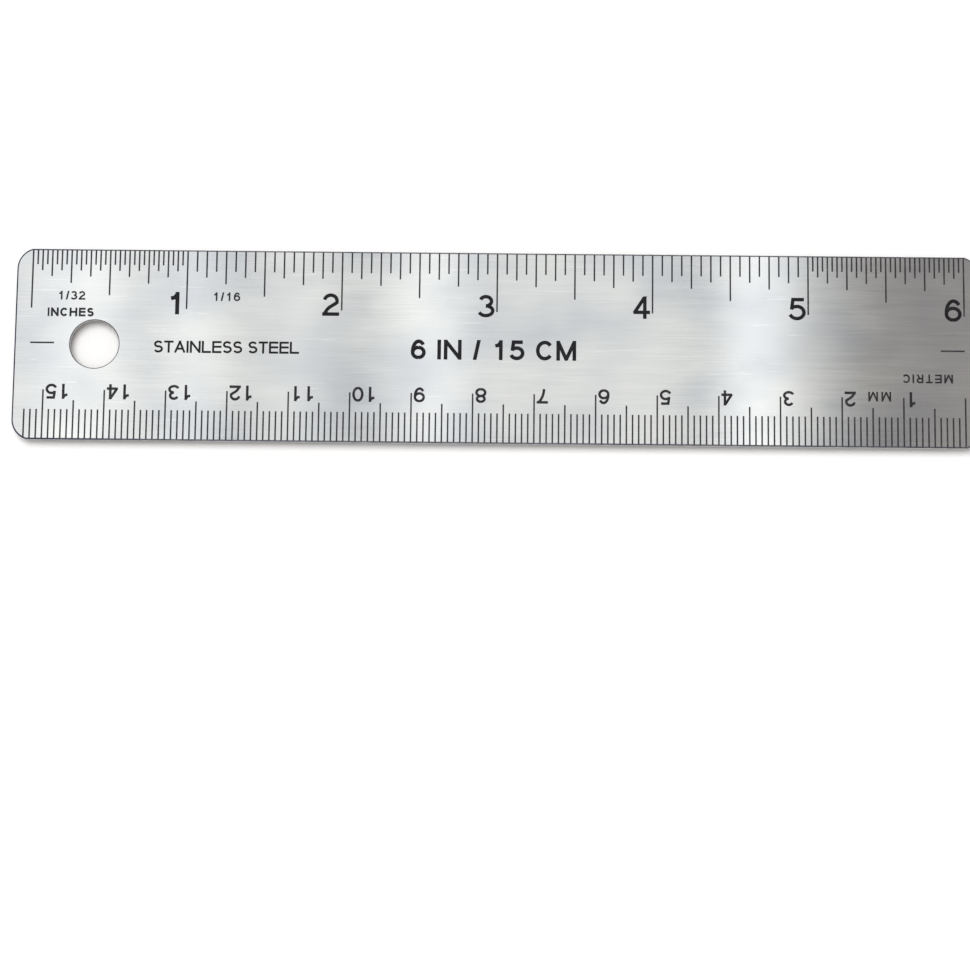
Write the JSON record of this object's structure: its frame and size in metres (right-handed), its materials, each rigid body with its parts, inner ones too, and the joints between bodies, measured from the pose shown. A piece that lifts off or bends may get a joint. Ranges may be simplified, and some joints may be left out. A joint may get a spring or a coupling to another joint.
{
  "type": "steel ruler",
  "caption": "Thin stainless steel ruler with rounded corners, a cork backing, a hanging hole and printed inch and metric scales.",
  "frame": {"origin": "middle of the ruler's footprint, on the surface that the cork lies on", "axes": "+X along the length, from the zero-inch end with the hanging hole to the zero-millimetre end; +Y towards the inch edge; +Z out of the printed face"},
  "size_m": [0.1576, 0.0318, 0.002],
  "materials": {
    "steel": "brushed lengthwise",
    "adhesive": "translucent tan film",
    "cork": "dark agglomerated cork, matte and granular",
    "print": "black enamel, satin"
  },
  "bodies": {
    "root": {"steel_blade": "steel", "adhesive_film": "adhesive", "cork_backing": "cork", "inch_lines": "print", "half_inch_lines": "print", "quarter_inch_lines": "print", "eighth_inch_lines": "print", "sixteenth_inch_lines": "print", "thirty_second_inch_lines": "print", "centimetre_lines": "print", "five_millimetre_lines": "print", "millimetre_lines": "print", "end_centre_lines": "print", "inch_numbers": "print", "centimetre_numbers": "print", "thirty_seconds_legend": "print", "sixteenths_legend": "print", "inches_legend": "print", "metric_legend": "print", "millimetre_legend": "print", "grade_legend": "print", "size_legend": "print"}
  },
  "joints": []
}
